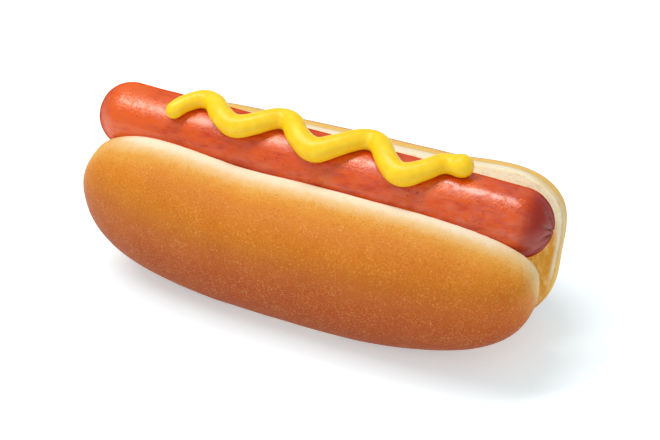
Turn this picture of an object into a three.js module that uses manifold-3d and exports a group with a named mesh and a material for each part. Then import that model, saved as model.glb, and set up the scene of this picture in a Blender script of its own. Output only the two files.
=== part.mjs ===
// A hot dog, in millimetres, +Z up, with its length along X.
//
// It is three pieces: a soft bun, slit from above and still joined along its base, a sausage that
// lies in the slit, and one zigzag bead of mustard squeezed along the top of the sausage.
// The bun is two cushion-shaped halves that lean apart, minus the slit between them. The half
// towards -Y is called the front half and the half towards +Y the back half.
import * as THREE from "three";
import { mergeVertices } from "three/addons/utils/BufferGeometryUtils.js";
import Module from "manifold-3d";

const wasm = await Module();
wasm.setup();

// ---- Driving dimensions, in millimetres and degrees ----

const bunLength = 150;
const crustDepth = 24.3; // how far each half bulges out from its cut face
const crustFullness = 3.2; // exponent of the bulge: 2 is an ellipse, more is fuller
const faceMiddle = 29.5; // from the base level up the cut face to the widest point of its outline

// For each half: how far its cut face leans out, where that face, drawn straight on, meets the
// base level, its reach above and below the middle, how much more it reaches up towards one end
// and how far from the middle that starts and is full, and how far round the sausage it is bedded.
// Each corner of the face's outline has its own exponent: 2 is an ellipse, more is squarer.
const frontHalf = {
  side: -1,
  lean: 11,
  foot: 2.1,
  faceAbove: 18,
  faceBelow: 29.2,
  endRise: { height: 10, towards: -1, from: 13, to: 75 },
  bedAngle: -4,
  corners: { leftTop: 2.6, rightTop: 3.4, leftLow: 2.53, rightLow: 2.5 },
};
const backHalf = {
  side: 1,
  lean: 18,
  foot: 1.5,
  faceAbove: 21.2,
  faceBelow: 28.1,
  endRise: { height: 4.3, towards: 1, from: 32, to: 65 },
  bedAngle: -24,
  corners: { leftTop: 4.5, rightTop: 4.1, leftLow: 2.57, rightLow: 3.6 },
};

const faceTrim = 0.2; // the cut faces lie this far into each half from its widest outline
const slitFloor = 12; // of the slit's bottom above the base level
const slitCrease = 0.5; // half the gap where the cut faces lie together under the sausage
const slitFlare = 24; // the slit spreads to its full V over this length at each end

const sausageRadius = 10.6;
const sausageLength = 150;
const sausageAt = { x: -0.7, y: 0.4, z: 46.1 }; // its middle, from the slit's middle at base level
const sausageDip = 2.2; // how far it slopes down towards +X
const sausageSeat = 0.75; // between the sausage and its bed
const touchingGap = 0.35; // between the mustard and the sausage

const beadRadius = 3.5;
const beadBlob = 3.9; // radius of the blob that ends the bead
// Where the zigzag bead lies: along the sausage from its middle, and round the sausage from its
// top, negative towards the front. Each loop climbs slowly, runs flat and drops steeply.
const beadRoute = [
  [-45.5, -33],
  [-43.2, -18],
  [-38.2, 2],
  [-33.5, -7],
  [-30, -23],
  [-24.2, -33],
  [-19, -22],
  [-12, 3],
  [-7.5, -5],
  [-3.5, -24],
  [2.6, -36],
  [8.3, -20],
  [16.5, 9],
  [21, -3],
  [24.5, -23],
  [30.2, -37],
  [36.2, -21],
  [41, 2],
  [45.6, 2],
];

const slitTop = 60; // the slit's cut runs up past the bun's rims

const CRUST = 0xd4873a;
const SAUSAGE = 0xc9481f;
const MUSTARD = 0xf5c518;

// ---- Helpers ----

const radians = THREE.MathUtils.degToRad;
const smoothstep = THREE.MathUtils.smoothstep;
const lerp = THREE.MathUtils.lerp;

// How far a direction given by its cosine and sine reaches to a superellipse of unit size.
function reach(cosine, sine, exponent) {
  return (Math.abs(cosine) ** exponent + Math.abs(sine) ** exponent) ** (-1 / exponent);
}

// A closed three.js geometry as a manifold-3d solid, on its positions alone.
function solidOf(geometry) {
  const bare = geometry.clone();
  bare.deleteAttribute("normal");
  bare.deleteAttribute("uv");
  const merged = mergeVertices(bare, 1e-4);
  const vertProperties = merged.attributes.position.array;
  const triVerts = new Uint32Array(merged.index.array);
  return new wasm.Manifold(new wasm.Mesh({ numProp: 3, vertProperties, triVerts }));
}

function geometryOf(solid) {
  const { vertProperties, triVerts } = solid.getMesh();
  const geometry = new THREE.BufferGeometry();
  geometry.setAttribute("position", new THREE.BufferAttribute(vertProperties, 3));
  geometry.setIndex(new THREE.BufferAttribute(triVerts, 1));
  geometry.computeVertexNormals();
  return geometry;
}

// Moves each vertex of a geometry to where place(point) says.
function reshape(geometry, place) {
  const positions = geometry.attributes.position;
  const point = new THREE.Vector3();
  for (let i = 0; i < positions.count; i++) {
    place(point.fromBufferAttribute(positions, i));
    positions.setXYZ(i, point.x, point.y, point.z);
  }
  return geometry;
}

// Turns each triangle of an indexed geometry round, for a shape that a reshaping has mirrored.
function turnFacesRound(geometry) {
  const index = geometry.index.array;
  for (let i = 0; i < index.length; i += 3) {
    [index[i + 1], index[i + 2]] = [index[i + 2], index[i + 1]];
  }
  return geometry;
}

// ---- The bun ----

// Half the gap between the cut faces at a height, where they lie flat.
function flatGap({ lean, foot }, height) {
  return foot + faceTrim + height * Math.tan(radians(lean));
}

// How much more of a half's face reaches up at a place along the bun.
function endRise({ height, towards, from, to }, x) {
  return height * smoothstep(towards * x, from, to);
}

// One half of the bun. A unit sphere's +Y hemisphere becomes the domed crust, and its -Y
// hemisphere reaches in past the bun's middle plane, so that the two halves join into a loaf.
function bunHalf(half) {
  const inwardOverlap = 0.6;
  const boxy = 9; // exponent that squares off the hemisphere reaching inwards
  const leanSin = Math.sin(radians(half.lean));
  const leanCos = Math.cos(radians(half.lean));
  const { leftTop, rightTop, leftLow, rightLow } = half.corners;
  const geometry = new THREE.SphereGeometry(1, 56, 24);
  reshape(geometry, (p) => {
    const across = Math.min(1, Math.hypot(p.x, p.z));
    const cosine = across ? p.x / across : 1;
    const sine = across ? p.z / across : 0;
    const [left, right] = sine < 0 ? [leftLow, rightLow] : [leftTop, rightTop];
    const outline = reach(cosine, sine, cosine < 0 ? left : right);
    const domed = p.y > 0;
    const profile = reach(across, p.y, domed ? crustFullness : boxy);
    const share = across * profile * outline;
    const faceAbove = half.faceAbove + endRise(half.endRise, share * cosine * (bunLength / 2));
    const up = faceMiddle + share * sine * (sine < 0 ? half.faceBelow : faceAbove);
    const inward = (half.foot + up * leanSin) / leanCos + inwardOverlap;
    const out = p.y * profile * (domed ? crustDepth : inward);
    p.x = share * cosine * (bunLength / 2);
    p.y = half.side * (half.foot + up * leanSin + out * leanCos);
    p.z = up * leanCos - out * leanSin;
  });
  return half.side < 0 ? turnFacesRound(geometry) : geometry;
}

// The sausage's axis height over the base level at a place along the bun.
function axisHeight(x) {
  return sausageAt.z - (x - sausageAt.x) * Math.tan(radians(sausageDip));
}

// A point of the slit's wall on one half, at a share of the way from the slit's floor to above
// the bun. Under the sausage the soft crumb closes to a crease, then it beds the sausage, and
// from the bed it runs out to the rim. Near the bun's ends the cut faces lie flat instead.
function slitWall(half, x, share) {
  const [creaseShare, bedShare] = [0.15, 0.65];
  const axis = axisHeight(x);
  const seat = sausageRadius + sausageSeat;
  const lowest = Math.asin(slitCrease / seat) - Math.PI / 2;
  const highest = radians(half.bedAngle);
  const aside = half.side * sausageAt.y;
  const rim = (faceMiddle + half.faceAbove) * Math.cos(radians(half.lean));
  const bedEnd = [seat * Math.cos(highest) + aside, axis + seat * Math.sin(highest)];
  let gap = slitCrease;
  let height = lerp(slitFloor, axis + seat * Math.sin(lowest), share / creaseShare);
  if (share > bedShare) {
    const rise = (share - bedShare) / (1 - bedShare);
    const slope = (flatGap(half, rim) - bedEnd[0]) / Math.max(rim - bedEnd[1], 3);
    height = lerp(bedEnd[1], slitTop, rise);
    gap = bedEnd[0] + slope * (height - bedEnd[1]);
  } else if (share > creaseShare) {
    const angle = lerp(lowest, highest, (share - creaseShare) / (bedShare - creaseShare));
    height = axis + seat * Math.sin(angle);
    gap = Math.max(slitCrease, seat * Math.cos(angle) + aside);
  }
  const flare = 1 - smoothstep(bunLength / 2 - Math.abs(x), 2, slitFlare);
  const rounding = 1 - Math.min(1, (height - slitFloor) / 7);
  const flat = flatGap(half, height) * Math.sqrt(1 - 0.95 * rounding ** 2);
  const clear = Math.sqrt(Math.max(0, seat ** 2 - (height - axis) ** 2)) + aside;
  return [Math.max(lerp(gap, flat, flare), clear), height];
}

// The slit as a solid: a box of many slices, each vertex moved out to the slit's wall.
function slit() {
  const length = bunLength + 16;
  const geometry = new THREE.BoxGeometry(length, 2, 1, 40, 2, 20);
  return reshape(geometry, (p) => {
    const along = p.x / (length / 2);
    p.x = (length / 2) * lerp(along, Math.sin((along * Math.PI) / 2), 0.5);
    const front = slitWall(frontHalf, p.x, p.z + 0.5);
    const back = slitWall(backHalf, p.x, p.z + 0.5);
    const [gap, height] = p.y < 0 ? front : back;
    p.z = p.y ? height : (front[1] + back[1]) / 2;
    p.y *= gap;
  });
}

// The two halves joined into a loaf, slit open, and pressed flat where the bun rests.
function bun() {
  const loaf = solidOf(bunHalf(frontHalf)).add(solidOf(bunHalf(backHalf)));
  const table = new THREE.BoxGeometry(2 * bunLength, 2 * bunLength, bunLength);
  table.translate(0, 0, -bunLength / 2);
  return loaf.subtract(solidOf(slit())).subtract(solidOf(table));
}

// ---- The sausage and the mustard, in the sausage's own frame: its axis along X, its top +Z ----

// A round-ended sausage, grown by a margin where it is used as a cutter.
function sausageShape(margin = 0) {
  const straight = sausageLength - 2 * sausageRadius;
  const geometry = new THREE.CapsuleGeometry(sausageRadius + margin, straight, 8, 36);
  return geometry.rotateZ(Math.PI / 2);
}

// The bead's middle line. The bead has sunk a little onto the sausage under its own weight.
function beadLine() {
  const lift = sausageRadius + touchingGap + beadRadius * 0.72;
  const points = beadRoute.map(([x, turn]) => {
    const angle = radians(turn);
    return new THREE.Vector3(x, lift * Math.sin(angle), lift * Math.cos(angle));
  });
  return new THREE.CatmullRomCurve3(points);
}

// The bead: a round rope along the zigzag, with a ball at each end, cut to sit on the sausage.
function bead() {
  const steps = 66;
  const path = beadLine();
  const circle = new THREE.Shape();
  circle.absarc(0, 0, beadRadius, 0, 2 * Math.PI);
  const rope = new THREE.ExtrudeGeometry(circle, { steps, curveSegments: 6, extrudePath: path });
  const tip = new THREE.SphereGeometry(beadRadius * 1.02, 14, 10);
  const blob = new THREE.SphereGeometry(beadBlob, 16, 12);
  tip.translate(...path.getPoint(0).toArray());
  blob.translate(...path.getPoint(1).toArray());
  return solidOf(rope)
    .add(solidOf(tip))
    .add(solidOf(blob))
    .subtract(solidOf(sausageShape(touchingGap)));
}

// ---- Assembly ----

function piece(name, geometry, color, roughness) {
  const mesh = new THREE.Mesh(geometry, new THREE.MeshStandardMaterial({ color, roughness }));
  mesh.name = name;
  return mesh;
}

const filling = new THREE.Group();
filling.add(piece("sausage", sausageShape(), SAUSAGE, 0.35));
filling.add(piece("mustard", geometryOf(bead()), MUSTARD, 0.3));
filling.rotation.y = radians(sausageDip);
filling.position.set(sausageAt.x, sausageAt.y, sausageAt.z);

const hotDog = new THREE.Group();
hotDog.add(piece("bun", geometryOf(bun()), CRUST, 0.6));
hotDog.add(filling);

// The origin is at the middle of the underside of the whole.
const bounds = new THREE.Box3().setFromObject(hotDog);
const centre = bounds.getCenter(new THREE.Vector3());
hotDog.position.set(-centre.x, -centre.y, -bounds.min.z);

export default hotDog;
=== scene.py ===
"""A hot dog: a soft slit bun, a sausage bedded in it and a zigzag bead of mustard along the top.

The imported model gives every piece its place. Each piece is built again here with its fine surface
and dressed in its own finish. The bun and the mustard are solids that know how far a point lies
from their skin. Sizes in the classes are in millimetres and degrees, in a frame whose X runs along
the bun from its middle, whose Y is nought in the middle of the slit, and whose Z is nought on the
surface that the bun rests on.
"""

import logging
import math
from collections.abc import Callable
from dataclasses import dataclass
from enum import Enum

import bpy
import numpy as np
from mathutils import Matrix, Vector, noise


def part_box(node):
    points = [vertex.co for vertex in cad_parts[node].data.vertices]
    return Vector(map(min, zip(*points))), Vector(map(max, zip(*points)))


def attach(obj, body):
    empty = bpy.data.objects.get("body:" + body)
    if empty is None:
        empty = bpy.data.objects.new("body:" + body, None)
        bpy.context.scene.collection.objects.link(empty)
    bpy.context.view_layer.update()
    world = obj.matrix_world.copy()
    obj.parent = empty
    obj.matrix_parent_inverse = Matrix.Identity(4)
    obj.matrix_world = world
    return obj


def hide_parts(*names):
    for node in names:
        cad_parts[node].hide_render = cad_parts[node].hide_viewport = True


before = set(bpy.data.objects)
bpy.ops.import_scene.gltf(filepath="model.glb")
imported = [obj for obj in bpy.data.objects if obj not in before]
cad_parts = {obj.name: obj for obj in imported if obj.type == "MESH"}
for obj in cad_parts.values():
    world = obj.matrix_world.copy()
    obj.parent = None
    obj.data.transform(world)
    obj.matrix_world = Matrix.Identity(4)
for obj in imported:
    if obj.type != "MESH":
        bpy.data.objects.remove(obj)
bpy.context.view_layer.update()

LOG = logging.getLogger("hot_dog")
MM = 0.001
BODY = "root"
LEAST_STEEP = 0.09  # the least squared slope that a distance is divided by
FARTHEST_MOVE = 0.5  # how far a point is moved at once
NEAR_CELLS = 3.0  # how many cells from the skin the distance is exact
Array = np.ndarray
Pair = tuple[float, float]
Triple = tuple[float, float, float]


# ---------------- numbers


def smooth(low: float, high: float, value: Array) -> Array:
    """Runs smoothly from 0 at low to 1 at high.

    Args:
        low: where the step starts.
        high: where it ends. It may lie below low, and the step then falls.
        value: the numbers to run it over.

    Returns:
        The step, from 0 to 1.
    """
    share = np.clip((value - low) / (high - low), 0.0, 1.0)
    return share * share * (3.0 - 2.0 * share)


def mix(first: Array | float, second: Array | float, share: Array | float) -> Array:
    """Goes from first to second as share goes from 0 to 1."""
    return first + (second - first) * share


def round_max(first: Array, second: Array, radius: float) -> Array:
    """The larger of two distances, with the edge where they meet rounded over radius."""
    overlap = np.maximum(radius - np.abs(first - second), 0.0) / radius
    return np.maximum(first, second) + overlap * overlap * radius / 4.0


def round_min(first: Array, second: Array, radius: float) -> Array:
    """The smaller of two distances, with a fillet of about radius where they meet."""
    return -round_max(-first, -second, radius)


def unit(vectors: Array) -> Array:
    """Each vector, brought to a length of 1."""
    return vectors / np.maximum(np.linalg.norm(vectors, axis=1), 1e-6)[:, None]


@dataclass(frozen=True)
class Lumps:
    """Gentle unevenness, in layers that are each finer and fainter than the last.

    Its height and width are in millimetres, and its seed makes one pattern differ from another.
    """

    height: float
    width: float
    seed: float
    layers: int = 1
    fade: float = 0.9
    finer: float = 2.0

    def at(self, points: Array) -> Array:
        """How far the surface is raised at each place."""
        moved = points / self.width + self.seed
        values = [noise.fractal(Vector(p), self.fade, self.finer, self.layers) for p in moved]
        return self.height * np.array(values)


# ---------------- meshes


class Solid:
    """A solid that knows how far a point lies from its skin, below nought inside."""

    def distance(self, points: Array) -> Array:
        """How far each point lies outside the solid, in millimetres."""
        raise NotImplementedError

    def rough(self, points: Array) -> Array:
        """A quick guess at the distance, with the same sign."""
        return self.distance(points)

    def slope(self, points: Array, step: float = 0.04) -> Array:
        """The direction in which the distance grows at each point."""
        here = self.distance(points)
        sides = [(self.distance(points + axis) - here) / step for axis in np.eye(3) * step]
        return np.stack(sides, axis=1)

    def facing(self, points: Array) -> Array:
        """The way the skin faces at each point."""
        return unit(self.slope(points))

    def settle(self, points: Array, rounds: int = 2) -> Array:
        """Moves points that lie near the skin onto it."""
        for _ in range(rounds):
            slope = self.slope(points)
            steep = np.maximum((slope * slope).sum(axis=1), LEAST_STEEP)
            away = np.clip(self.distance(points) / steep, -FARTHEST_MOVE, FARTHEST_MOVE)
            points = points - slope * away[:, None]
        return points


def soften(points: Array, faces: Array, rounds: int, share: float = 0.5) -> Array:
    """Draws each point of a net towards its neighbours, which takes out creases.

    Args:
        points: the net's points.
        faces: the four points of each face.
        rounds: how often that is done.
        share: how far each point goes towards the middle of its neighbours.

    Returns:
        The moved points.
    """
    start, end = faces.ravel(), np.roll(faces, -1, axis=1).ravel()
    count = np.bincount(start, minlength=len(points))[:, None]
    for _ in range(rounds):
        sums = [np.bincount(start, values, len(points)) for values in points[end].T]
        points = mix(points, np.stack(sums, axis=1) / count, share)
    return points


def skin_of(solid: Solid, low: Array, high: Array, step: float) -> tuple[Array, Array]:
    """Finds a solid's skin as an even net of four-sided faces.

    Args:
        solid: the solid to skin.
        low: the lowest corner of a box that holds it.
        high: the highest corner of that box.
        step: about how wide a face is.

    Returns:
        The places of the net's points, and the four points of each face.
    """
    counts = np.ceil((high - low) / step).astype(int) + 1
    axes = [low[i] + step * np.arange(counts[i]) for i in range(3)]
    grid = np.stack(np.meshgrid(*axes, indexing="ij"), axis=-1).reshape(-1, 3)
    values = solid.rough(grid)
    near = np.abs(values) < NEAR_CELLS * step
    values[near] = solid.distance(grid[near])
    return net_of(values.reshape(counts), low, step)


def net_of(values: Array, low: Array, step: float) -> tuple[Array, Array]:
    """Joins the places where values cross nought into a net.

    Args:
        values: the distance at each corner of a grid.
        low: the place of the grid's first corner.
        step: the grid's spacing.

    Returns:
        The places of the net's points, and the four points of each face, seen from outside.
    """
    inside = values < 0.0
    corners = [(i, j, k) for i in (0, 1) for j in (0, 1) for k in (0, 1)]
    cells = tuple(n - 1 for n in values.shape)

    def part(source: Array, corner: tuple[int, int, int]) -> Array:
        """The grid's numbers at one corner of every cell."""
        return source[tuple(slice(c, c + n) for c, n in zip(corner, cells))]

    total = sum(part(inside, c).astype(np.int8) for c in corners)
    mixed = (total > 0) & (total < 8)
    index = np.full(cells, -1, dtype=np.int64)
    index[mixed] = np.arange(mixed.sum())
    at = np.stack(np.nonzero(mixed), axis=1).astype(float)
    held = {c: part(values, c)[mixed] for c in corners}
    place = np.zeros_like(at)
    crossings = np.zeros(len(at))
    for first, axis in [(c, axis) for c in corners for axis in range(3) if not c[axis]]:
        second = tuple(1 if i == axis else first[i] for i in range(3))
        a, b = held[first], held[second]
        cut = (a < 0.0) != (b < 0.0)
        point = np.full(at.shape, first, dtype=float)
        point[:, axis] = np.where(cut, a / np.where(cut, a - b, 1.0), 0.0)
        place += point * cut[:, None]
        crossings += cut
    place = low + step * (at + place / crossings[:, None])

    faces = []
    for axis in range(3):
        start, end = np.delete(inside, -1, axis), np.delete(inside, 0, axis)
        u, v = (axis + 1) % 3, (axis + 2) % 3
        for outward in (True, False):
            edge = np.stack(np.nonzero((start & ~end) if outward else (~start & end)), axis=1)
            ring = []
            for du, dv in ((-1, -1), (0, -1), (0, 0), (-1, 0)):
                cell = edge.copy()
                cell[:, u] += du
                cell[:, v] += dv
                ring.append(index[tuple(cell.T)])
            ring = np.stack(ring, axis=1)
            faces.append(ring if outward else ring[:, ::-1])
    return place, np.concatenate(faces)


def add(name: str, data: bpy.types.ID) -> bpy.types.Object:
    """Puts a new object into the scene."""
    added = bpy.data.objects.new(name, data)
    bpy.context.scene.collection.objects.link(added)
    return added


@dataclass(frozen=True)
class Placing:
    """Where the sizes' own frame lies in the row's frame, in metres."""

    origin: Vector

    @classmethod
    def from_frame(cls, sausage_aside: float) -> "Placing":
        """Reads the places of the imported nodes.

        Args:
            sausage_aside: how far the sausage's middle lies from the middle of the slit.

        Returns:
            The placing.
        """
        low, high = (Vector(corner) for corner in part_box("bun"))
        sausage_low, sausage_high = (Vector(corner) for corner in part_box("sausage"))
        middle_y = (sausage_low.y + sausage_high.y) / 2 - sausage_aside * MM
        return cls(Vector(((low.x + high.x) / 2, middle_y, low.z)))

    def mesh(self, name: str, points: Array, faces: Array) -> bpy.types.Object:
        """Makes a smooth-shaded object.

        Args:
            name: the object's name.
            points: its points, in millimetres, in the sizes' frame.
            faces: the points of each face, all with as many corners.

        Returns:
            The object, with its place in its mesh.
        """
        data = bpy.data.meshes.new(name)
        size = faces.shape[1]
        data.vertices.add(len(points))
        data.vertices.foreach_set("co", (points * MM + np.array(self.origin)).ravel())
        data.loops.add(faces.size)
        data.loops.foreach_set("vertex_index", faces.ravel())
        data.polygons.add(len(faces))
        data.polygons.foreach_set("loop_start", np.arange(len(faces)) * size)
        data.polygons.foreach_set("use_smooth", np.ones(len(faces), dtype=bool))
        data.update(calc_edges=True)
        data.validate()
        return add(name, data)


def paint(piece: bpy.types.Object, name: str, values: Array) -> None:
    """Stores one number for each point of a piece, for its finish to read.

    Args:
        piece: the object.
        name: the finish's name for the numbers.
        values: the numbers, in the order of the points.
    """
    layer = piece.data.attributes.new(name, "FLOAT", "POINT")
    layer.data.foreach_set("value", values.astype(np.float32))


# ---------------- finishes


def operator(operation: str, reflected: bool = False) -> Callable:
    """An operator of Term that adds a Math node, with its sides swapped if reflected."""

    def act(self: "Term", other: "Term | float") -> "Term":
        """Joins the two sides."""
        return self.math(operation, other, self) if reflected else self.math(operation, self, other)

    return act


class Term:
    """A shader socket that is used in sums."""

    __add__, __radd__ = operator("ADD"), operator("ADD", True)
    __sub__, __rsub__ = operator("SUBTRACT"), operator("SUBTRACT", True)
    __mul__, __rmul__ = operator("MULTIPLY"), operator("MULTIPLY", True)

    def __init__(self, graph: "Graph", socket: bpy.types.NodeSocket) -> None:
        """Wraps a socket of a graph."""
        self.graph = graph
        self.socket = socket

    def math(self, operation: str, *values: "Term | float") -> "Term":
        """Adds a Math node with those inputs, in order."""
        inputs = dict(enumerate(values))
        return self.graph.node("ShaderNodeMath", {"operation": operation}, inputs)

    def step(self, low: float, high: float) -> "Term":
        """Runs smoothly from 0 at low to 1 at high, or falls where high is below low."""
        rising = high > low
        settings = {"interpolation_type": "SMOOTHSTEP"}
        ends = (low, high) if rising else (high, low)
        inputs = {"Value": self, "From Min": ends[0], "From Max": ends[1]}
        result = self.graph.node("ShaderNodeMapRange", settings, inputs, "Result")
        return result if rising else 1.0 - result


class Graph:
    """The nodes of one material."""

    def __init__(self, name: str) -> None:
        """Starts a material with one Principled shader."""
        self.material = bpy.data.materials.new(name)
        self.material.use_nodes = True
        self.tree = self.material.node_tree
        self.shader = self.tree.nodes["Principled BSDF"]

    def node(self, kind: str, settings: dict, inputs: dict, output: str | int = 0) -> Term:
        """Adds a node.

        Args:
            kind: the node's type.
            settings: what is set on the node itself.
            inputs: a value or a term for each socket, by name or number.
            output: the socket to return.

        Returns:
            The chosen output.
        """
        node = self.tree.nodes.new(kind)
        for name, value in settings.items():
            setattr(node, name, value)
        for name, value in inputs.items():
            self._feed(node.inputs[name], value)
        return Term(self, node.outputs[output])

    def _feed(self, socket: bpy.types.NodeSocket, value: object) -> None:
        """Links a term to a socket, or sets the socket to a value."""
        if isinstance(value, Term):
            self.tree.links.new(value.socket, socket)
        elif socket.type == "RGBA" and len(value) == 3:
            socket.default_value = (*value, 1.0)
        else:
            socket.default_value = value

    def dress(self, **sockets: object) -> bpy.types.Material:
        """Feeds the shader.

        Args:
            **sockets: a value or a term for each socket, with _ for the spaces in its name.

        Returns:
            The material.
        """
        for name, value in sockets.items():
            self._feed(self.shader.inputs[name.replace("_", " ")], value)
        return self.material

    def dull(self, share: Term, **sockets: object) -> None:
        """Mixes a second shader in.

        Args:
            share: how much of it there is.
            **sockets: a value or a term for each of its sockets, as for the first.
        """
        named = {name.replace("_", " "): value for name, value in sockets.items()}
        second = self.node("ShaderNodeBsdfPrincipled", {}, named, "BSDF")
        first = Term(self, self.shader.outputs["BSDF"])
        both = self.node("ShaderNodeMixShader", {}, {0: share, 1: first, 2: second})
        self._feed(self.tree.nodes["Material Output"].inputs["Surface"], both)

    def painted(self, name: str) -> Term:
        """The numbers stored on the piece under a name."""
        return self.node("ShaderNodeAttribute", {"attribute_name": name}, {}, "Fac")

    def place(self, stretch: Triple = (1.0, 1.0, 1.0)) -> Term:
        """The place on the piece, in millimetres, stretched along each axis."""
        where = self.node("ShaderNodeTexCoord", {}, {}, "Object")
        scale = tuple(s / MM for s in stretch)
        return self.node("ShaderNodeVectorMath", {"operation": "MULTIPLY"}, {0: where, 1: scale})

    def noise(self, where: Term, size: float, detail: float = 2.0, rough: float = 0.5) -> Term:
        """Cloudy noise from 0 to 1.

        Args:
            where: the place.
            size: how wide a cloud is, in millimetres.
            detail: how many finer layers there are.
            rough: how strong those are.

        Returns:
            The noise.
        """
        inputs = {"Vector": where, "Scale": 1.0 / size, "Detail": detail, "Roughness": rough}
        return self.node("ShaderNodeTexNoise", {}, inputs, "Fac")

    def spots(self, where: Term, size: float) -> Term:
        """How far the nearest of many scattered points lies, in cells of that size."""
        inputs = {"Vector": where, "Scale": 1.0 / size}
        return self.node("ShaderNodeTexVoronoi", {}, inputs, "Distance")

    def ramp(self, share: Term, colours: tuple) -> Term:
        """A colour that follows a number from 0 to 1 through evenly spaced colours."""
        result = self.node("ShaderNodeValToRGB", {}, {"Fac": share}, "Color")
        elements = result.socket.node.color_ramp.elements
        while len(elements) < len(colours):
            elements.new(0.5)
        for i, (element, colour) in enumerate(zip(elements, colours)):
            element.position = i / (len(colours) - 1)
            element.color = (*colour, 1.0)
        return result

    def blend(self, first: "Term | tuple", second: "Term | tuple", share: Term) -> Term:
        """Mixes two colours.

        Args:
            first: the colour at a share of 0.
            second: the colour at a share of 1.
            share: how much of the second there is.

        Returns:
            The mixed colour.
        """
        mixer = self.tree.nodes.new("ShaderNodeMix")
        mixer.data_type = "RGBA"
        sockets = [mixer.inputs["Factor"], *(s for s in mixer.inputs if s.type == "RGBA")]
        for socket, value in zip(sockets, (share, first, second)):
            self._feed(socket, value)
        return Term(self, next(s for s in mixer.outputs if s.type == "RGBA"))

    def bump(self, height: Term, depth: float, under: "Term | None" = None) -> Term:
        """Turns a height from 0 to 1 into a dented surface.

        Args:
            height: the height.
            depth: how deep it goes, in millimetres.
            under: another bump that this one lies on.

        Returns:
            The surface's direction.
        """
        inputs = {"Height": height, "Strength": 1.0, "Distance": depth * MM}
        if under is not None:
            inputs["Normal"] = under
        return self.node("ShaderNodeBump", {}, inputs, "Normal")


def linear(red: int, green: int, blue: int) -> Triple:
    """A screen colour, given from 0 to 255 on the sRGB curve, as the light a shader works in."""
    return tuple(
        c / 12.92 if c <= 0.04045 else ((c + 0.055) / 1.055) ** 2.4
        for c in (red / 255, green / 255, blue / 255)
    )


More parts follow.
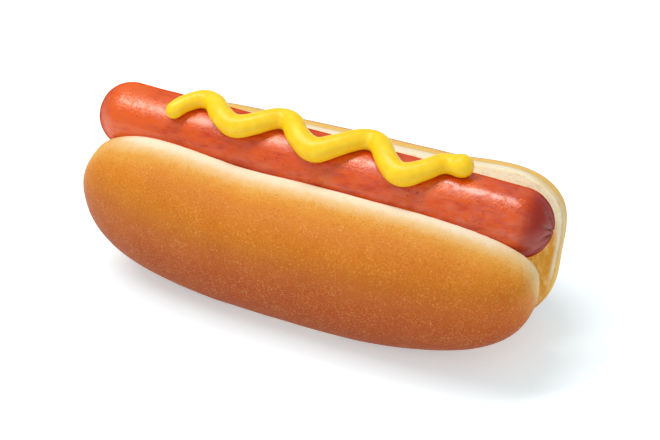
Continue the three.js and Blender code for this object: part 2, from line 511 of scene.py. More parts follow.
@dataclass(frozen=True)
class BreadFinish:
    """Baked crust, golden above and brown below, pale along the cut edge, over soft crumb.

    The brown low down is partly painted shade; the crumb has painted shade in its pores and deep
    in the slit.
    """

    straw: tuple = linear(230, 172, 74)
    gold: tuple = linear(216, 132, 38)
    amber: tuple = linear(196, 102, 24)
    brown: tuple = linear(176, 80, 20)
    deep: tuple = linear(157, 66, 18)
    cream: tuple = linear(242, 230, 200)
    butter: tuple = linear(232, 194, 132)
    yolk: tuple = linear(246, 198, 92)
    crumb: tuple = linear(255, 250, 216)
    crumb_shade: tuple = linear(254, 240, 192)
    # painted shade: the ochre of the crumb deep in the slit and in its pores
    hollow_shade: tuple = linear(240, 178, 66)
    hollow_shade_pale: tuple = linear(254, 216, 134)
    grain: tuple = linear(244, 186, 92)
    pit: tuple = linear(140, 62, 16)

    def make(self) -> bpy.types.Material:
        """Builds the material.

        Returns:
            The material.
        """
        g = Graph("bread")
        where = g.place()
        fine = g.noise(where, 0.62, 2.0, 0.7)
        on_crust = (g.painted("skin") + (g.noise(where, 3.0, 2.0) - 0.5) * 0.7).step(-0.75, -0.25)
        crust = self._crust(g, where, fine)
        crumb, open_crumb = self._crumb(g, where)
        colour = g.blend(crumb, crust, on_crust)

        rough_crust = 0.52 + (g.noise(where, 5.0, 2.0) - 0.5) * 0.16
        roughness = on_crust * rough_crust + (1.0 - on_crust) * 0.92
        skin_bump = g.bump(fine * on_crust, 0.09)
        surface = g.bump(open_crumb * (1.0 - on_crust), 0.3, skin_bump)
        return g.dress(
            Base_Color=colour,
            Roughness=roughness,
            Normal=surface,
            Specular_IOR_Level=0.13,
            Subsurface_Weight=0.12,
            Subsurface_Radius=(1.0, 0.5, 0.25),
            Subsurface_Scale=1.2 * MM,
        )

    def _crust(self, g: Graph, where: Term, fine: Term) -> Term:
        """The colour of the crust.

        Args:
            g: the material's nodes.
            where: the place on the bun.
            fine: the fine grain of the crust.

        Returns:
            The colour.
        """
        # the crust's brown low down and under the bun is partly baked colour and partly painted
        # shade
        bake_and_shade = g.painted("bake_and_shade") + (g.noise(where, 14.0, 3.0) - 0.5) * 0.2
        bake_and_shade += (g.noise(where, 2.4, 3.0, 0.6) - 0.5) * 0.12
        crust = g.ramp(bake_and_shade, (self.straw, self.gold, self.amber, self.brown, self.deep))
        golden = g.painted("yolk") + (g.noise(where, 6.0, 3.0, 0.6) - 0.5) * 0.5
        crust = g.blend(crust, self.yolk, golden.step(0.1, 0.9) * 0.9)
        patchy = g.noise(g.place((0.6, 1.0, 1.0)), 5.0, 2.0).step(0.3, 0.65)
        crust = g.blend(crust, self.grain, fine.step(0.5, 0.78) * (0.2 + patchy * 0.22))
        crust = g.blend(crust, self.pit, fine.step(0.48, 0.24) * 0.3)
        flecks = g.spots(where, 1.6).step(0.17, 0.06) * g.noise(where, 4.0).step(0.46, 0.6)
        crust = g.blend(crust, self.butter, flecks * 0.3)
        pale = g.painted("pale") + (g.noise(where, 2.6, 4.0, 0.65) - 0.5) * 0.4
        pale += (fine - 0.5) * 0.3
        crust = g.blend(crust, self.butter, pale.step(0.0, 0.55))
        return g.blend(crust, self.cream, pale.step(0.42, 1.0))

    def _crumb(self, g: Graph, where: Term) -> tuple[Term, Term]:
        """The colour of the crumb, with painted shade in its pores and deep in the slit, and its
        relief.

        Args:
            g: the material's nodes.
            where: the place on the bun.

        Returns:
            The colour, and the height of the relief from 0 to 1.
        """
        pores = g.spots(where, 1.3)
        tears = g.noise(g.place((1.0, 1.0, 0.45)), 1.6, 3.0, 0.6)
        crumb = g.blend(self.crumb, self.crumb_shade, tears.step(0.45, 0.72))
        # painted shade in the crumb's pores
        crumb = g.blend(crumb, self.hollow_shade, pores.step(0.17, 0.05) * 0.22)
        # painted shade: ochre crumb deep in the slit and low on the cut faces
        depth = g.painted("shaded_deep_crumb") + (g.noise(where, 6.0, 3.0) - 0.5) * 0.3
        hollow_shade = g.blend(self.hollow_shade, self.hollow_shade_pale, tears.step(0.42, 0.68))
        crumb = g.blend(crumb, hollow_shade, depth.step(0.1, 0.9))
        return crumb, pores.step(0.05, 0.4) * 0.4 + tears * 0.8


@dataclass(frozen=True)
class SausageFinish:
    """Smooth shiny cooked skin, with faint streaks, pinholes, darker puckered tips and painted
    shade in their folds.
    """

    skin: tuple = linear(221, 80, 10)
    ripe: tuple = linear(196, 54, 10)
    pale: tuple = linear(234, 106, 20)
    fresh: tuple = linear(242, 100, 12)
    tip: tuple = linear(156, 24, 12)
    # painted shade in the folds of the puckered tips
    crease: tuple = linear(90, 14, 16)
    pinhole: tuple = linear(104, 24, 16)

    def make(self) -> bpy.types.Material:
        """Builds the material.

        Returns:
            The material.
        """
        g = Graph("sausage_skin")
        where = g.place()
        streaks = g.noise(g.place((0.3, 1.0, 1.0)), 1.9, 4.0, 0.65)
        clouds = g.noise(where, 9.0, 2.0)
        colour = g.blend(self.skin, self.ripe, streaks.step(0.4, 0.7))
        colour = g.blend(colour, self.pale, clouds.step(0.48, 0.75) * 0.5)
        along = g.node("ShaderNodeSeparateXYZ", {}, {"Vector": where}, "X")
        colour = g.blend(colour, self.fresh, along.step(-42.0, -64.0) * 0.6)
        tip = g.painted("tip") + (g.noise(where, 4.0, 2.0) - 0.5) * 0.25
        colour = g.blend(colour, self.tip, tip.step(0.05, 0.75))
        # painted shade in the folds of the puckered tips
        colour = g.blend(colour, self.crease, g.painted("fold_shade") * 0.8)
        pins = g.spots(where, 1.7).step(0.17, 0.08) * g.noise(where, 7.0).step(0.5, 0.62)
        colour = g.blend(colour, self.pinhole, pins * 0.75)
        roughness = 0.2 + (streaks - 0.5) * 0.26 - along.step(10.0, 50.0) * 0.04
        wet = g.noise(g.place((0.6, 1.0, 1.0)), 2.2, 4.0, 0.7).step(0.42, 0.56)
        wet = wet * (0.6 + along.step(5.0, 45.0) * 0.4) * (1.0 - pins) * tip.step(0.5, 0.1)
        wrinkles = g.bump(g.noise(where, 0.75, 3.0, 0.7), 0.17)
        surface = g.bump(1.0 - pins, 0.12, wrinkles)
        edge = g.node("ShaderNodeLayerWeight", {}, {"Blend": 0.5}, "Facing").step(0.35, 0.85)
        g.dull(edge, Base_Color=colour, Roughness=0.9, Specular_IOR_Level=0.0)
        return g.dress(
            Base_Color=colour,
            Roughness=roughness,
            Normal=surface,
            Specular_IOR_Level=0.75,
            Specular_Tint=(1.0, 0.84, 0.66, 1.0),
            Coat_Weight=wet,
            Coat_Roughness=0.2,
            Subsurface_Weight=0.06,
            Subsurface_Radius=(1.0, 0.3, 0.15),
            Subsurface_Scale=1.0 * MM,
        )


@dataclass(frozen=True)
class MustardFinish:
    """Thick smooth yellow sauce, deeper in colour where it meets the sausage, as painted shade."""

    body: tuple = linear(255, 206, 16)
    light: tuple = linear(255, 216, 36)
    # painted shade where the sauce meets the sausage
    low: tuple = linear(246, 172, 8)

    def make(self) -> bpy.types.Material:
        """Builds the material.

        Returns:
            The material.
        """
        g = Graph("mustard_sauce")
        where = g.place()
        colour = g.blend(self.body, self.light, g.noise(where, 3.0, 2.0).step(0.4, 0.7))
        # painted shade: darker where the sauce meets the sausage
        colour = g.blend(colour, self.low, g.painted("lift").step(1.9, 0.2) * 0.8)
        roughness = 0.38 + (g.noise(where, 1.6, 2.0) - 0.5) * 0.14
        surface = g.bump(g.noise(where, 0.9, 3.0), 0.04)
        return g.dress(
            Base_Color=colour,
            Roughness=roughness,
            Normal=surface,
            Specular_IOR_Level=0.4,
            Subsurface_Weight=0.3,
            Subsurface_Radius=(1.0, 0.6, 0.1),
            Subsurface_Scale=2.0 * MM,
        )


# ---------------- the sausage


@dataclass
class Sausage:
    """A round-ended sausage that dips towards +X, with a puckered tip at each end.

    The left tip's folds and colour are a share, left_folds and left_tip, of the right one's.
    """

    radius: float = 10.6
    length: float = 150.8
    middle: Triple = (-0.3, 0.4, 46.1)
    dip: float = 2.2
    tip_reach: float = 13.0
    folds: int = 9
    fold_depth: float = 0.5
    knot_depth: float = 0.9
    left_folds: float = 0.3
    left_tip: float = 0.45
    wander: Lumps = Lumps(1.0, 5.0, 3.7)
    bends: Lumps = Lumps(0.16, 17.0, 1.3)
    bumps: Lumps = Lumps(0.05, 4.0, 8.1)
    around: int = 176
    cap_rows: int = 44
    body_rows: int = 300

    @property
    def straight(self) -> float:
        """How far from the middle the round ends start."""
        return self.length / 2 - self.radius

    def turn(self) -> Array:
        """The sausage's own axes, as the rows of a matrix: along, across and up."""
        angle = math.radians(self.dip)
        c, s = math.cos(angle), math.sin(angle)
        return np.array([[c, 0.0, -s], [0.0, 1.0, 0.0], [s, 0.0, c]])

    def out(self, points: Array) -> Array:
        """Takes points in the sausage's own axes to the bun's frame."""
        return points @ self.turn() + np.array(self.middle)

    def into(self, points: Array) -> Array:
        """Takes points in the bun's frame to the sausage's own axes."""
        return (points - np.array(self.middle)) @ self.turn().T

    def clear(self, points: Array) -> Array:
        """How far points in the bun's frame lie from the plain sausage's skin."""
        own = self.into(points)
        past = np.maximum(np.abs(own[:, 0]) - self.straight, 0.0)
        return np.sqrt(past**2 + own[:, 1] ** 2 + own[:, 2] ** 2) - self.radius

    def build(self, placing: Placing) -> bpy.types.Object:
        """Makes the sausage's skin.

        Args:
            placing: where it goes.

        Returns:
            The piece.
        """
        around, straight, radius = self.around, self.straight, self.radius
        bow = np.linspace(0.0, math.pi / 2, self.cap_rows + 1)[1:]
        fall = bow[::-1]
        body = np.linspace(-straight, straight, self.body_rows)[1:-1]
        axis = [-straight - radius * np.cos(bow), body, straight + radius * np.cos(fall)]
        reach = [radius * np.sin(bow), np.full(len(body), radius), radius * np.sin(fall)]
        axis, reach = np.concatenate(axis), np.concatenate(reach)
        turn = np.linspace(0.0, 2 * math.pi, around, endpoint=False)
        away, angle = np.repeat(reach, around), np.tile(turn, len(axis))
        across = (np.repeat(axis, around), away * np.sin(angle), away * np.cos(angle))
        poles = np.array([[-self.length / 2, 0.0, 0.0], [self.length / 2, 0.0, 0.0]])
        own = np.concatenate([np.stack(across, axis=1), poles])
        away, angle = (np.concatenate([values, [0.0, 0.0]]) for values in (away, angle))
        own, fold_shade = self._pucker(own, away, angle)

        ring = np.arange(around)
        after = (ring + 1) % around
        rows = np.arange(len(axis))[:, None] * around
        low, high = rows[:-1], rows[1:]
        corners = [low + ring, low + after, high + after, high + ring]
        quads = np.stack(corners, axis=-1).reshape(-1, 4)
        low_pole, high_pole = np.full(around, len(own) - 2), np.full(around, len(own) - 1)
        low_cap = np.stack([low_pole, after, ring], axis=1)
        high_cap = np.stack([high_pole, rows[-1] + ring, rows[-1] + after], axis=1)
        triangles = np.concatenate([quads[:, [0, 1, 2]], quads[:, [0, 2, 3]], low_cap, high_cap])
        piece = placing.mesh("sausage_skin", self.out(own), triangles)
        from_tip = self.length / 2 - np.abs(own[:, 0])
        strength = np.where(own[:, 0] > 0, 1.0, self.left_tip)
        paint(piece, "tip", smooth(self.tip_reach, 0.0, from_tip) * strength)
        # the painted shade of the tips' folds
        paint(piece, "fold_shade", fold_shade)
        return piece

    def _pucker(self, own: Array, away: Array, angle: Array) -> tuple[Array, Array]:
        """Draws each tip into folds that run out from its middle, and makes the body uneven.

        Args:
            own: the skin's points, in the sausage's own axes.
            away: how far each lies from the axis.
            angle: where each lies round it.

        Returns:
            The moved points, and how far down a crease each lies, from 0 to 1, which the finish
            uses as painted shade.
        """
        end, share = np.sign(own[:, 0]), away / self.radius
        on_cap = np.abs(own[:, 0]) > self.straight
        near_tip = smooth(0.92, 0.12, share) * on_cap
        crease = (0.5 + 0.5 * np.cos(self.folds * angle + end * 0.8 + self.wander.at(own))) ** 3
        depth = self.fold_depth * crease * near_tip * smooth(0.0, 0.25, share)
        depth += self.knot_depth * (smooth(0.2, 0.0, share) * on_cap)
        depth *= np.where(end > 0, 1.0, self.left_folds)
        middle = np.stack([end * self.straight, 0 * end, 0 * end], axis=1)
        core = np.where(on_cap[:, None], middle, own * np.array([1.0, 0.0, 0.0]))
        uneven = self.bends.at(own) + self.bumps.at(own)
        return own + unit(own - core) * (uneven - depth)[:, None], crease * near_tip


# ---------------- the bun


@dataclass(frozen=True)
class Half:
    """One half of the bun, in front (a side of -1) or behind (a side of 1).

    Its cut face leans out by some degrees from its foot, and reaches above and below its middle.
    Its rise is how much more its face reaches up towards one end, which end that is, and how far
    from the middle that starts and is full. The bed is where round the sausage the face leaves it.
    The corners say how square its outline is at the left and right, at the top and then low down:
    2 is an ellipse.
    """

    side: int
    lean: float
    foot: float
    above: float
    below: float
    rise: tuple[float, int, float, float]
    bed: float
    corners: tuple[Pair, Pair]

    @property
    def slant(self) -> Pair:
        """The sine and the cosine of the lean."""
        lean = math.radians(self.lean)
        return math.sin(lean), math.cos(lean)


@dataclass(frozen=True)
class Tones:
    """Where the bread's colours change, from none of a colour to all of it.

    Rims lie behind the cut face, tops above the floor, ends along the bun, and hollow_depth
    outside the crust. The darkening under the bun goes by how far up the skin faces. The brown
    low down and under the bun is partly baked colour and partly painted shade, and the crumb
    deep in the slit is painted shade.
    """

    near_rim: Pair = (12.5, 0.3)
    far_rim: Pair = (4.5, 1.5)
    rim_top: Pair = (16.0, 38.0)
    left_end: Pair = (-73.0, -52.0)
    right_end: Pair = (56.0, 70.0)
    golden_rim: Pair = (13.0, 5.0)
    golden_top: Pair = (3.0, 24.0)
    # hollow_depth, hollow_top and crumb_top: where the crumb takes painted shade deep in the slit
    hollow_depth: Pair = (-0.5, -2.5)
    hollow_top: Pair = (28.0, 16.0)
    crumb_top: Pair = (42.0, 30.0)
    # brown_rim, brown_top and the last pair: browner low down and under the bun, partly baked
    # colour and partly painted shade
    brown_rim: Pair = (2.0, 17.0)
    brown_top: Pair = (46.0, 4.0)
    underside_shade: Pair = (0.3, -0.8)


@dataclass
class Bun(Solid):
    """Two cushion-shaped halves that lean apart, joined below, with the slit between them.

    The crust reaches depth behind the faces, where fullness says how square it is. The slit goes
    down to floor, holds the sausage with seat to spare, and opens to the flat of the faces within
    flare of the ends.
    """

    sausage: Sausage
    length: float = 150.0
    depth: float = 24.3
    fullness: float = 3.2
    boxy: float = 9.0
    middle: float = 29.5
    inward: float = 0.6
    floor: float = 12.0
    crease: float = 0.5
    flare: float = 24.0
    seat: float = 0.15
    rim_radius: float = 0.8
    foot_radius: float = 2.4
    flare_start: float = 2.0
    least_rise: float = 3.0
    round_over: float = 7.0
    pinch: float = 0.95
    merge: float = 4.0
    probe: float = 0.05
    steepest: float = 9.0
    step: float = 0.72
    quick_step: float = 1.2
    rounds: int = 3
    box: tuple = ((-77.0, -36.0, -1.5), (77.0, 40.0, 52.0))
    dips: Lumps = Lumps(0.3, 26.0, 5.2)
    dents: Lumps = Lumps(0.1, 9.0, 2.9)
    crumbs: Lumps = Lumps(0.16, 3.2, 7.7, 2)
    tones: Tones = Tones()
    front: Half = Half(
        -1, 11.0, 2.1, 18.3, 29.2, (10.0, -1, 13.0, 75.0), -4.0, ((2.6, 3.45), (2.53, 2.5))
    )
    back: Half = Half(
        1, 18.0, 1.5, 21.5, 28.1, (4.3, 1, 32.0, 65.0), -24.0, ((4.8, 4.1), (2.57, 3.6))
    )

    def _crust_value(self, half: Half, p: Array) -> Array:
        """How far points lie past one half's crust, where the crust's own reach is 1."""
        s, c = half.slant
        aside = half.side * p[:, 1] - half.foot
        up = aside * s + p[:, 2] * c
        out = aside * c - p[:, 2] * s
        along = np.abs(p[:, 0]) / (self.length / 2)
        rise = up - self.middle
        top, low = (np.where(p[:, 0] < 0, *pair) for pair in half.corners)
        power = np.where(rise > 0, top, low)
        height, towards, start, full = half.rise
        above = half.above + height * smooth(start, full, towards * p[:, 0])
        level = np.abs(rise) / np.where(rise > 0, above, half.below)
        ring = (along**power + level**power) ** (1 / power)
        inward = np.maximum((half.foot + up * s) / c + self.inward, 1.0)
        bulge = np.where(out > 0, out / self.depth, -out / inward)
        square = np.where(out > 0, self.fullness, self.boxy)
        return (ring**square + np.minimum(bulge, 3.0) ** square) ** (1 / square) - 1.0

    def _crust(self, half: Half, p: Array) -> Array:
        """How far points lie outside one half's crust, in millimetres."""
        here = self._crust_value(half, p)
        total = np.zeros(len(p))
        for axis in np.eye(3) * self.probe:
            total += ((self._crust_value(half, p + axis) - here) / self.probe) ** 2
        return here / np.sqrt(np.maximum(total, 1e-5))

    def axis_height(self, x: Array) -> Array:
        """The height of the sausage's axis at places along the bun."""
        middle = self.sausage.middle
        return middle[2] - (x - middle[0]) * math.tan(math.radians(self.sausage.dip))

    def _gap(self, half: Half, x: Array, z: Array) -> Array:
        """Half the slit's width on one side, at places along the bun and heights."""
        axis = self.axis_height(x)
        seat = self.sausage.radius + self.seat
        aside = half.side * self.sausage.middle[1]
        tangent = math.tan(math.radians(half.lean))
        rim = (self.middle + half.above) * half.slant[1]
        bed = math.radians(half.bed)
        bed_y = seat * math.cos(bed) + aside
        bed_z = axis + seat * math.sin(bed)
        slope = (half.foot + rim * tangent - bed_y) / np.maximum(rim - bed_z, self.least_rise)
        circle = np.sqrt(np.maximum(0.0, seat**2 - (z - axis) ** 2)) + aside
        circle = np.where(np.abs(z - axis) < seat, circle, 0.0)
        gap = np.where(z > bed_z, bed_y + slope * (z - bed_z), np.maximum(self.crease, circle))
        flare = 1.0 - smooth(self.flare_start, self.flare, self.length / 2 - np.abs(x))
        rounding = 1.0 - np.clip((z - self.floor) / self.round_over, 0.0, 1.0)
        flat = (half.foot + z * tangent) * np.sqrt(1.0 - self.pinch * rounding**2)
        return np.maximum(mix(gap, flat, flare), circle)

    def _sides(self, p: Array) -> list[tuple[Half, Array]]:
        """Each half, with whether each point lies on its side of the middle."""
        return [(self.front, p[:, 1] < 0), (self.back, p[:, 1] >= 0)]

    def _slit(self, p: Array) -> Array:
        """How far points lie outside the slit, in millimetres: below nought in its air."""
        away, probe = np.zeros(len(p)), self.probe
        for half, chosen in self._sides(p):
            x, y, z = p[chosen].T
            gap = self._gap(half, x, z)
            by_x = (self._gap(half, x + probe, z) - gap) / probe
            by_z = (self._gap(half, x, z + probe) - gap) / probe
            steep = np.sqrt(1.0 + np.minimum(by_x**2 + by_z**2, self.steepest))
            away[chosen] = (np.abs(y) - gap) / steep
        return np.maximum(away, self.floor - p[:, 2])

    def _behind_face(self, p: Array) -> Array:
        """How far points lie behind the flat of their own half's cut face."""
        behind = np.zeros(len(p))
        for half, chosen in self._sides(p):
            s, c = half.slant
            behind[chosen] = (np.abs(p[chosen, 1]) - half.foot) * c - p[chosen, 2] * s
        return behind

    def _far_share(self, p: Array) -> Array:
        """How much the far half's crust counts at points, from 0 to 1 across the middle."""
        return smooth(-self.merge, self.merge, p[:, 1])

    def crust(self, p: Array) -> Array:
        """How far points lie outside the loaf, as it would be with no slit."""
        return mix(self._crust(self.front, p), self._crust(self.back, p), self._far_share(p))

    def distance(self, points: Array) -> Array:
        """How far each point lies outside the bun, in millimetres."""
        bread = round_max(self.crust(points), -self._slit(points), self.rim_radius)
        return round_max(bread, -points[:, 2], self.foot_radius)

    def rough(self, points: Array) -> Array:
        """A quick guess at the distance, for choosing the points near the skin."""
        front = self._crust_value(self.front, points)
        back = self._crust_value(self.back, points)
        loaf = mix(front, back, self._far_share(points)) * self.depth
        x, z = points[:, 0], points[:, 2]
        gap = np.where(points[:, 1] < 0, self._gap(self.front, x, z), self._gap(self.back, x, z))
        slit = np.maximum(np.abs(points[:, 1]) - gap, self.floor - z)
        return np.maximum(np.maximum(loaf, -slit * 0.3), -z)

    def build(self, placing: Placing) -> bpy.types.Object:
        """Makes the bun's skin, uneven as baked bread is.

        Args:
            placing: where it goes.

        Returns:
            The piece.
        """
        step = self.step
        points, faces = skin_of(self, *np.array(self.box), step)
        points = self.settle(soften(points, faces, self.rounds), self.rounds)
        skin, facing = self.crust(points), self.facing(points)
        crumbs = self.crumbs.at(points) * smooth(-0.4, -1.6, skin)
        raised = self.dips.at(points) + self.dents.at(points) + crumbs
        moved = points + facing * (raised * smooth(0.2, 2.5, points[:, 2]))[:, None]
        piece = placing.mesh("bun_bread", moved, faces)
        for name, values in self._tints(points, skin, facing).items():
            paint(piece, name, values)
        return piece

    def _tints(self, points: Array, skin: Array, facing: Array) -> dict[str, Array]:
        """What the finish needs to know of each place on the skin.

        Args:
            points: the places.
            skin: how far each lies outside the crust.
            facing: the way each faces.

        Returns:
            For each name that the finish reads, a number for each place. How brown the crust is
            runs from 0 at the rim to 1 at the foot, and the brown low down and under the bun is
            partly baked colour and partly painted shade. The crumb's number for depth is painted
            shade deep in the slit.
        """
        tones, far, behind = self.tones, points[:, 1] > 0, self._behind_face(points)
        x, top = points[:, 0], points[:, 2]
        # browner low down and where the skin faces down: partly baked colour, partly painted shade
        bake_and_shade = 0.32 * smooth(*tones.brown_rim, behind) + 0.56 * smooth(*tones.brown_top, top)
        bake_and_shade += 0.18 * smooth(*tones.underside_shade, facing[:, 2])
        high = smooth(*tones.rim_top, top)
        near_band = smooth(*tones.near_rim, behind) ** 2 * (0.15 + 0.85 * high)
        band = np.where(far, smooth(*tones.far_rim, behind) * high, near_band)
        ends = smooth(*tones.left_end, x) * (1.0 - 0.35 * smooth(*tones.right_end, x))
        golden = smooth(*tones.golden_rim, behind) * smooth(*tones.golden_top, top)
        # painted shade: the crumb deep in the slit and low on the cut faces
        hollow_shade = np.maximum(smooth(*tones.hollow_depth, skin), smooth(*tones.hollow_top, top) * 0.8)
        return {
            "skin": skin,
            "bake_and_shade": np.clip(bake_and_shade, 0.0, 1.0),
            "pale": band * ends,
            "yolk": np.where(far, golden, 0.0),
            "shaded_deep_crumb": hollow_shade * smooth(*tones.crumb_top, top),
        }


# ---------------- the mustard


@dataclass
class Mustard(Solid):
    """One zigzag rope of sauce on the sausage, with a round start and a blob at its end.

    The route's places are given along the sausage and as an angle round it from the top, negative
    towards the front, with the rope's radius there. The sauce lies between low and high in the
    sausage's own axes, with room round it up to ceiling, which is a Y and a Z in the bun's frame.
    """

    sausage: Sausage
    route: tuple[Triple, ...] = (
        (-45.5, -33.0, 2.9), (-43.2, -18.0, 2.9), (-38.6, 1.0, 3.1), (-34.4, -4.0, 3.4),
        (-30.4, -21.0, 3.6), (-24.6, -33.0, 3.7), (-19.0, -22.0, 3.5), (-12.2, 2.5, 3.4),
        (-8.0, -3.0, 3.6), (-3.8, -23.0, 3.7), (2.4, -36.0, 3.9), (8.3, -20.0, 3.5),
        (15.8, 8.5, 3.4), (20.4, 1.0, 3.5), (24.6, -22.0, 3.5), (30.2, -37.0, 3.7),
        (36.2, -21.0, 3.3), (40.6, 1.0, 3.2), (44.4, 2.0, 3.3),
    )
    blob: Triple = (45.7, 2.0, 3.9)
    sink: float = 0.72
    fillet: float = 0.44
    blob_fillet: float = 0.35
    softness: float = 5.0
    nearby: float = 9.0
    step: float = 0.42
    quick_step: float = 0.8
    low: Triple = (-52.0, 0.0, 6.0)
    high: Triple = (53.0, 0.0, 20.0)
    room: Triple = (0.0, 14.0, 6.0)
    ceiling: Pair = (10.0, 66.0)
    ripples: Lumps = Lumps(0.1, 5.0, 6.1)

    def _lay(self, along: Array, turn: Array, radius: Array) -> Array:
        """Places on the rope's middle line, in the sausage's own axes."""
        lift = self.sausage.radius + radius * self.sink
        angle = np.radians(turn)
        return np.stack([along, lift * np.sin(angle), lift * np.cos(angle)], axis=1)

    def line(self, between: int = 10) -> tuple[Array, Array]:
        """The rope's middle line, a smooth curve through the places of the route.

        Args:
            between: how many steps the line takes from each place of the route to the next.

        Returns:
            The places, in the sausage's own axes, and the rope's radius at each.
        """
        route = np.array(self.route)
        ends = (2 * route[:1] - route[1:2], route, 2 * route[-1:] - route[-2:-1])
        route = np.concatenate(ends)
        share = np.linspace(0.0, 1.0, between, endpoint=False)[:, None]
        spans = []
        for before, start, end, after in zip(route, route[1:], route[2:], route[3:]):
            leave, arrive = (end - before) / 2, (after - start) / 2
            bend = 3 * (end - start) - 2 * leave - arrive
            rest = 2 * (start - end) + leave + arrive
            spans.append(start + share * (leave + share * (bend + share * rest)))
        along, turn, radius = np.concatenate([*spans, route[-2:-1]]).T
        return self._lay(along, turn, radius), radius

    def distance(self, points: Array) -> Array:
        """How far each point lies outside the sauce, in millimetres."""
        own = self.sausage.into(points)
        line, size = self.line()
        rope = np.full(len(own), np.inf)
        for k in range(len(line) - 1):
            start, run = line[k], line[k + 1] - line[k]
            close = np.abs(own[:, 0] - (start[0] + run[0] / 2)) < self.nearby
            offset = own[close] - start
            share = np.clip(offset @ run / (run @ run), 0.0, 1.0)
            gap = np.linalg.norm(offset - share[:, None] * run, axis=1)
            rope[close] = np.minimum(rope[close], gap - mix(size[k], size[k + 1], share))
        centre = self._lay(*np.array([self.blob]).T)[0]
        ball = np.linalg.norm(own - centre, axis=1) - self.blob[2]
        sauce = round_min(rope, ball, self.blob_fillet)
        return round_max(sauce, -self.sausage.clear(points), self.fillet)

    def build(self, placing: Placing) -> bpy.types.Object:
        """Makes the sauce's skin.

        Args:
            placing: where it goes.

        Returns:
            The piece.
        """
        step = self.step
        low, high = (self.sausage.out(np.array([end]))[0] for end in (self.low, self.high))
        low = np.minimum(low, high) - np.array(self.room)
        points, faces = skin_of(self, low, np.array([high[0], *self.ceiling]), step)
        points = soften(self.settle(points), faces, round(self.softness / step**2))
        lift = self.sausage.clear(points)
        ripple = self.ripples.at(points) * smooth(0.2, 2.0, lift)
        moved = points + self.facing(points) * ripple[:, None]
        piece = placing.mesh("mustard_sauce", moved, faces)
        # the height over the sausage, for the painted shade where the sauce meets it
        paint(piece, "lift", lift)
        return piece


# ---------------- the studio


def pose(along: Vector, across: Vector, back: Vector, place: Vector | tuple) -> Matrix:
    """How an object stands that has those three axes and that place."""
    rows = [(along[i], across[i], back[i], place[i]) for i in range(3)]
    return Matrix([*rows, (0.0, 0.0, 0.0, 1.0)])


class Lamp(Enum):
    """The studio's soft lights: place, length and width in metres, turn in degrees, watts."""

    KEY = ((-0.19, -0.04, 0.58), 0.52, 0.15, 40.0, 2.4)
    SIDE = ((0.42, -0.32, 0.5), 0.5, 0.5, 0.0, 0.4)
    FILL = ((0.1, -0.8, 0.5), 0.8, 0.8, 0.0, 0.9)


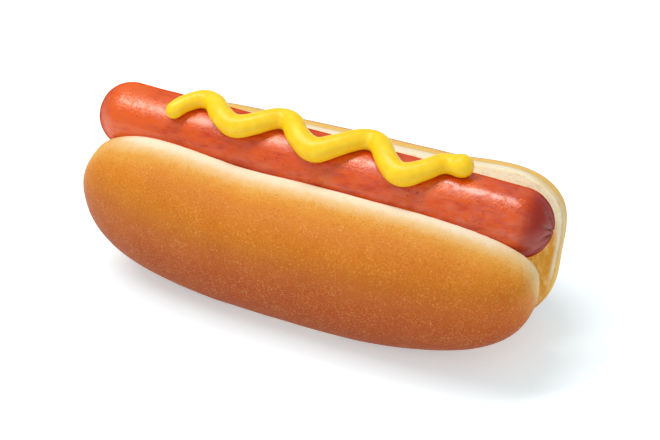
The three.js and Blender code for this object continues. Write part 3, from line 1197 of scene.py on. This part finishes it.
@dataclass
class Studio:
    """A pale floor, soft light and the camera.

    Its clip, its floor_size and lit, which is the place that the lamps face, are in metres.
    """

    azimuth: float = 24.8
    elevation: float = 34.0
    away: float = 440.0
    aim: Triple = (-1.25, 0.0, 25.0)
    lens: float = 76.36
    sensor: float = 36.0
    clip: float = 0.01
    shift: Pair = (0.0262, 0.0048)
    lit: Triple = (0.0, 0.0, 0.03)
    sky: float = 0.42
    floor_size: float = 6.0
    floor_colour: Triple = (0.88, 0.95, 0.98)
    glow_colour: Triple = (0.87, 1.04, 1.08)
    floor_glow: float = 0.36

    def build(self, placing: Placing) -> None:
        """Makes the studio.

        Args:
            placing: where the bun lies.
        """
        self._camera(placing)
        self._floor()
        for lamp in Lamp:
            self._lamp(lamp)
        world = bpy.data.worlds.new("studio")
        world.use_nodes = True
        backdrop = world.node_tree.nodes["Background"]
        backdrop.inputs["Color"].default_value = (1.0, 1.0, 1.0, 1.0)
        backdrop.inputs["Strength"].default_value = self.sky
        scene = bpy.context.scene
        scene.world = world
        scene.view_settings.view_transform = "Standard"

    def _camera(self, placing: Placing) -> None:
        """Sets up the camera."""
        a, e = math.radians(self.azimuth), math.radians(self.elevation)
        right = Vector((math.cos(a), math.sin(a), 0.0))
        back = Vector((math.sin(a) * math.cos(e), -math.cos(a) * math.cos(e), math.sin(e)))
        up = back.cross(right)
        place = placing.origin + Vector(self.aim) * MM + back * self.away * MM
        data = bpy.data.cameras.new("camera")
        data.lens = self.lens
        data.sensor_width = self.sensor
        data.clip_start = self.clip
        data.shift_x, data.shift_y = self.shift
        camera = add("camera", data)
        camera.matrix_world = pose(right, up, back, place)
        bpy.context.scene.camera = camera

    def _floor(self) -> None:
        """Lays the floor."""
        half = self.floor_size / 2
        data = bpy.data.meshes.new("floor")
        corners = [(-half, -half, 0), (half, -half, 0), (half, half, 0), (-half, half, 0)]
        data.from_pydata(corners, [], [(0, 1, 2, 3)])
        floor = add("floor", data)
        white = Graph("floor").dress(
            Base_Color=self.floor_colour,
            Roughness=0.9,
            Emission_Color=self.glow_colour,
            Emission_Strength=self.floor_glow,
        )
        data.materials.append(white)

    def _lamp(self, lamp: Lamp) -> None:
        """Hangs a soft light that faces the hot dog."""
        place, length, width, turn, power = lamp.value
        data = bpy.data.lights.new(lamp.name.lower(), "AREA")
        data.shape = "RECTANGLE"
        data.size = length
        data.size_y = width
        data.energy = power
        light = add(lamp.name.lower(), data)
        back = (Vector(place) - Vector(self.lit)).normalized()
        a = math.radians(turn)
        level = Vector((math.cos(a), math.sin(a), 0.0))
        along = (level - back * level.dot(back)).normalized()
        across = back.cross(along)
        light.matrix_world = pose(along, across, back, place)


# ---------------- putting it together


def hand_over(piece: bpy.types.Object, material: bpy.types.Material, node: str) -> None:
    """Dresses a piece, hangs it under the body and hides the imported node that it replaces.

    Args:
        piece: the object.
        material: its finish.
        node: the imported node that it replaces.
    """
    piece.data.materials.append(material)
    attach(piece, BODY)
    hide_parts(node)
    LOG.info("%s: %d points", piece.name, len(piece.data.vertices))


def main() -> None:
    """Builds the hot dog and its studio."""
    logging.basicConfig(level=logging.INFO, format="%(message)s")
    sausage = Sausage()
    placing = Placing.from_frame(sausage.middle[1])
    Studio().build(placing)
    hand_over(sausage.build(placing), SausageFinish().make(), "sausage")
    hand_over(Bun(sausage).build(placing), BreadFinish().make(), "bun")
    hand_over(Mustard(sausage).build(placing), MustardFinish().make(), "mustard")


if __name__ == "__main__":
    main()
